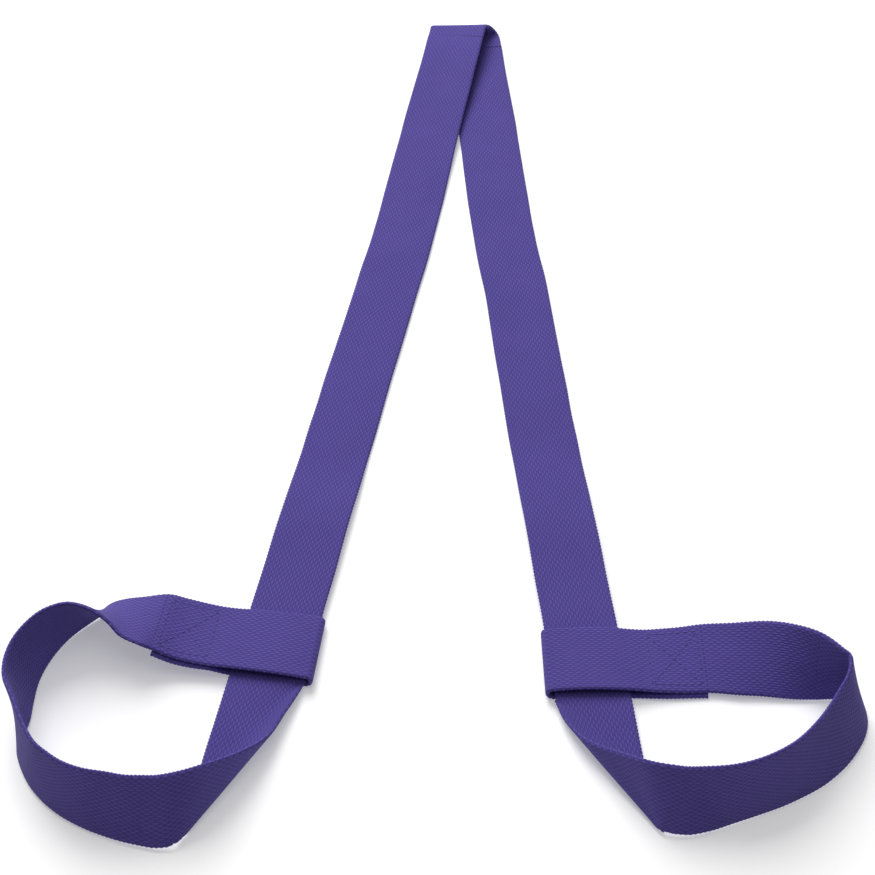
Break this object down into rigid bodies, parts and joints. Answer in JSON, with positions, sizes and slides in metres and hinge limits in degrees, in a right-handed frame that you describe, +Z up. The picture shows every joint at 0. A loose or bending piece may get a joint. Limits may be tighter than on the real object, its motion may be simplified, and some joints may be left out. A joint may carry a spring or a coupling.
{
  "type": "stretching strap",
  "caption": "Flat woven strap folded in half, with a slip loop at each end: the sewn eye of each end wraps its own leg and slides along it to tighten the loop.",
  "frame": {"origin": "middle of the strap's outline, on the surface it lies on", "axes": "+Z up, +Y from the loops towards the crown fold, +X from the left loop towards the right loop"},
  "size_m": [0.4278, 0.6011, 0.038],
  "materials": {
    "webbing": "woven cotton",
    "thread": "stitched thread"
  },
  "bodies": {
    "right_leg": {"right_leg": "webbing", "crown_bend": "webbing"},
    "left_leg": {"left_leg": "webbing"},
    "right_loop": {"right_leg_end": "webbing", "right_loop_corner": "webbing", "right_loop_near_band": "webbing", "right_loop_end_turn": "webbing", "right_loop_far_band": "webbing"},
    "left_loop": {"left_leg_end": "webbing", "left_loop_corner": "webbing", "left_loop_near_band": "webbing", "left_loop_end_turn": "webbing", "left_loop_far_band": "webbing"},
    "right_keeper": {"right_keeper_front": "webbing", "right_keeper_back": "webbing", "right_keeper_fold": "webbing", "right_seam_stitching": "thread"},
    "left_keeper": {"left_keeper_front": "webbing", "left_keeper_back": "webbing", "left_keeper_fold": "webbing", "left_seam_stitching": "thread"}
  },
  "joints": [
    {"name": "crown_fold", "type": "hinge", "parent": "right_leg", "child": "left_leg", "pos_m": [0.0158, 0.294, 0.005], "axis": [-1, 0, 0], "range_deg": [0, 170], "deforming": ["crown_bend"]},
    {"name": "right_loop_lift", "type": "hinge", "parent": "right_leg", "child": "right_loop", "pos_m": [0.06338, -0.10348, 0.0047], "axis": [0.994, 0.1097, 0], "range_deg": [-110, 0]},
    {"name": "left_loop_lift", "type": "hinge", "parent": "left_leg", "child": "left_loop", "pos_m": [-0.06616, -0.09815, 0.0047], "axis": [0.9806, -0.1959, 0], "range_deg": [-110, 0]},
    {"name": "right_keeper_slide", "type": "slide", "parent": "right_loop", "child": "right_keeper", "axis": [-0.1097, 0.994, 0], "range_m": [0, 0.045], "deforming": ["right_loop_corner", "right_loop_near_band", "right_loop_end_turn", "right_loop_far_band"]},
    {"name": "left_keeper_slide", "type": "slide", "parent": "left_loop", "child": "left_keeper", "axis": [0.1959, 0.9806, 0], "range_m": [0, 0.045], "deforming": ["left_loop_corner", "left_loop_near_band", "left_loop_end_turn", "left_loop_far_band"]}
  ]
}
